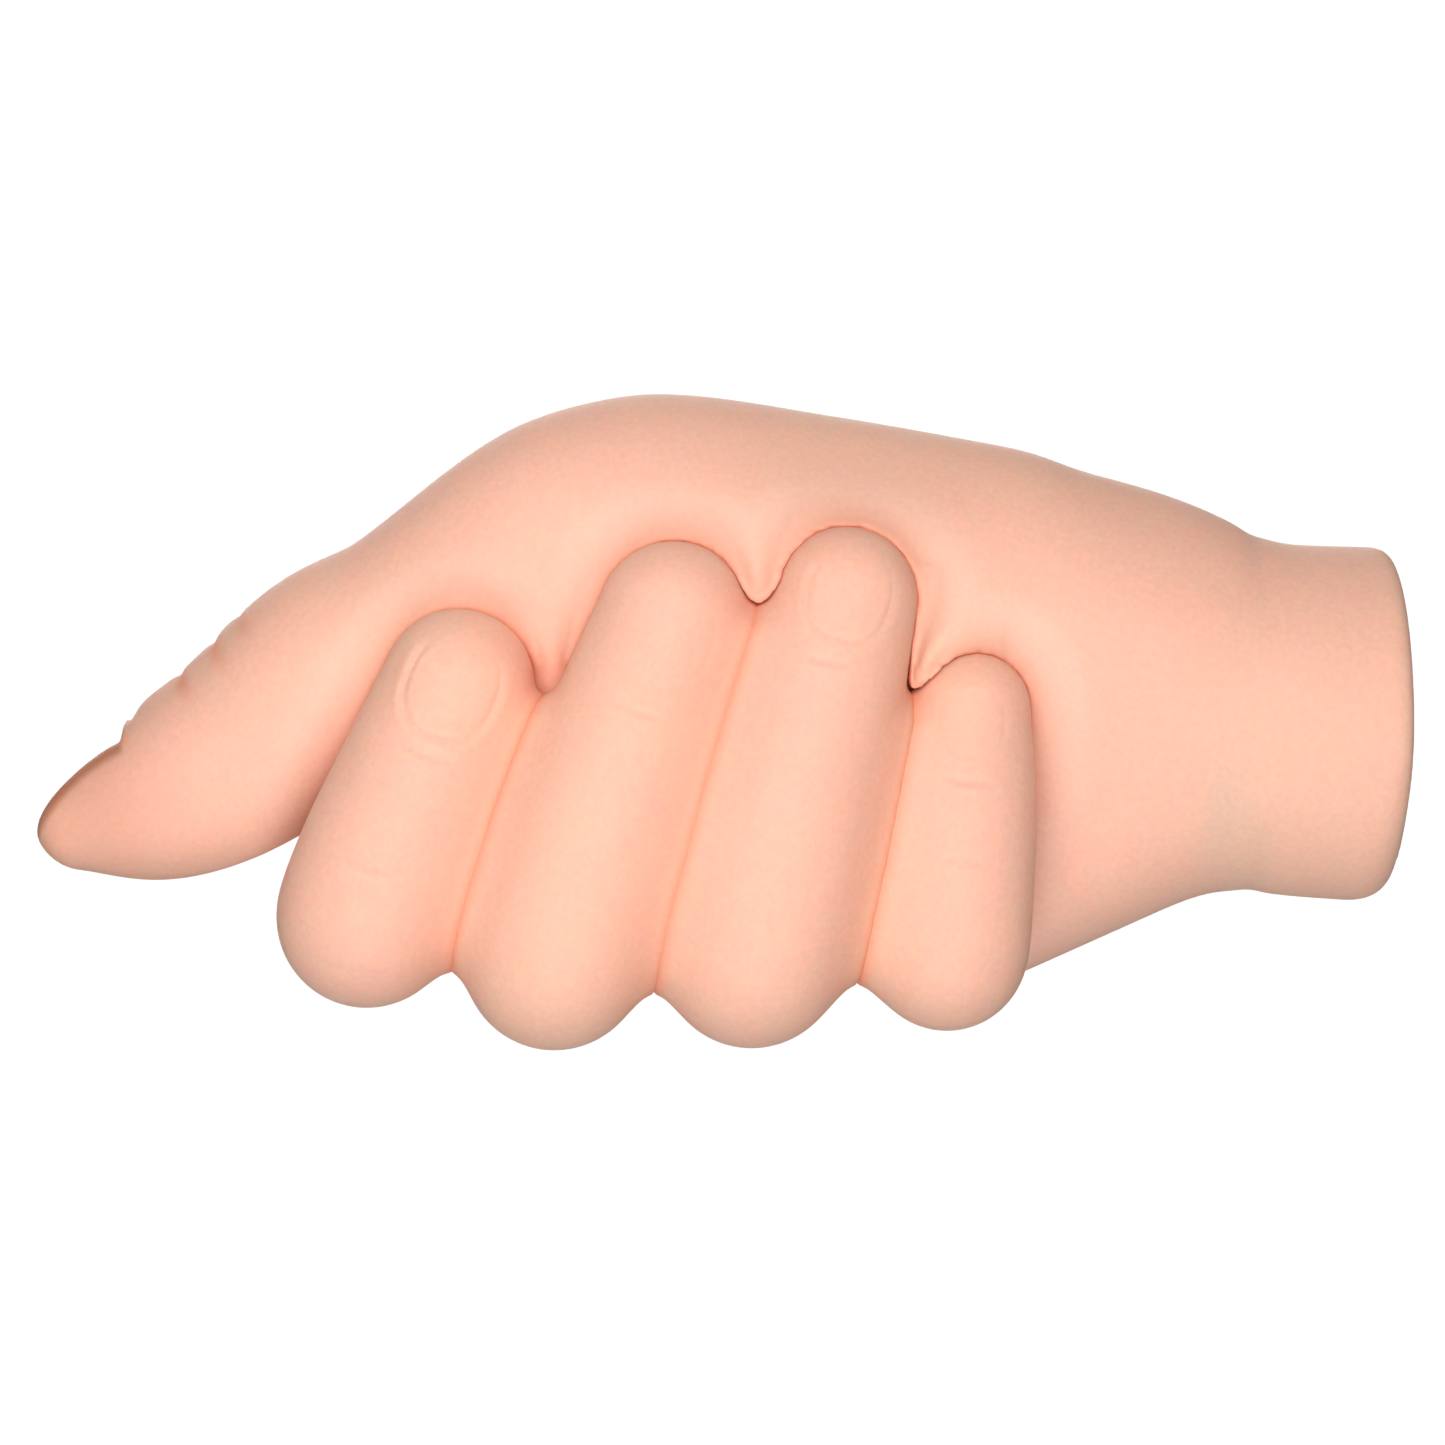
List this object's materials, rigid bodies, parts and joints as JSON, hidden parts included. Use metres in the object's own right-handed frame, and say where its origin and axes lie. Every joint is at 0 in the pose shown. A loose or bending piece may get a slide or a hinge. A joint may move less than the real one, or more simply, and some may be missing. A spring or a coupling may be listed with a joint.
{
  "type": "prosthetic hand",
  "caption": "Passive right hand in soft flesh-coloured skin, fist loosely closed and thumb straight, on a round wrist cuff with a threaded mount.",
  "frame": {"origin": "centre of the wrist plate's outer face, where the threaded hole opens, level with the cuff's rim", "axes": "+X along the wrist axis out of the cuff towards the forearm; -Y out of the palm; +Z towards the thumb's side"},
  "size_m": [0.1539, 0.055, 0.0718],
  "materials": {
    "silicone_skin": "soft matte skin tone, slightly translucent",
    "foam": "cream filler foam",
    "alloy": "fine machined",
    "steel": "turned steel",
    "nylon": "off-white nylon"
  },
  "bodies": {
    "wrist_unit": {"wrist_spindle": "steel", "wrist_plate": "alloy", "wrist_plate_screws": "steel", "brake_washer": "nylon", "disc_springs": "steel", "spindle_nut": "steel"},
    "hand": {"palm_skin": "silicone_skin", "palm_foam": "foam", "cuff_ring": "nylon", "wrist_housing": "alloy", "wrist_bush": "nylon", "frame_plate": "alloy", "frame_screws": "steel", "knuckle_brackets": "alloy", "bracket_screws": "steel", "knuckle_pins": "steel", "knuckle_washers": "nylon", "thumb_bracket": "alloy", "thumb_bracket_screws": "steel", "thumb_pin": "steel", "thumb_washers": "nylon"},
    "index_finger": {"index_skin": "silicone_skin", "index_core": "nylon", "index_link": "alloy", "index_screw": "steel"},
    "middle_finger": {"middle_skin": "silicone_skin", "middle_core": "nylon", "middle_link": "alloy", "middle_screw": "steel"},
    "ring_finger": {"ring_skin": "silicone_skin", "ring_core": "nylon", "ring_link": "alloy", "ring_screw": "steel"},
    "little_finger": {"little_skin": "silicone_skin", "little_core": "nylon", "little_link": "alloy", "little_screw": "steel"},
    "thumb": {"thumb_skin": "silicone_skin", "thumb_core": "nylon", "thumb_link": "alloy", "thumb_screw": "steel"}
  },
  "joints": [
    {"name": "wrist_rotation", "type": "hinge", "parent": "wrist_unit", "child": "hand", "pos_m": [0, 0, 0], "axis": [1, 0, 0], "continuous": true},
    {"name": "index_knuckle", "type": "hinge", "parent": "hand", "child": "index_finger", "pos_m": [-0.1145, 0.012, -0.019], "axis": [0.9272, 0, -0.3746], "range_deg": [0, 60]},
    {"name": "middle_knuckle", "type": "hinge", "parent": "hand", "child": "middle_finger", "pos_m": [-0.0935, 0.014, -0.0225], "axis": [0.9426, 0, -0.3338], "range_deg": [0, 60]},
    {"name": "ring_knuckle", "type": "hinge", "parent": "hand", "child": "ring_finger", "pos_m": [-0.072, 0.0135, -0.022], "axis": [0.9681, 0, -0.2504], "range_deg": [0, 60]},
    {"name": "little_knuckle", "type": "hinge", "parent": "hand", "child": "little_finger", "pos_m": [-0.051, 0.011, -0.0215], "axis": [0.9954, 0, -0.0958], "range_deg": [0, 60]},
    {"name": "thumb_swing", "type": "hinge", "parent": "hand", "child": "thumb", "pos_m": [-0.095, -0.003, 0.0195], "axis": [0, 1, 0], "range_deg": [0, 25]}
  ]
}
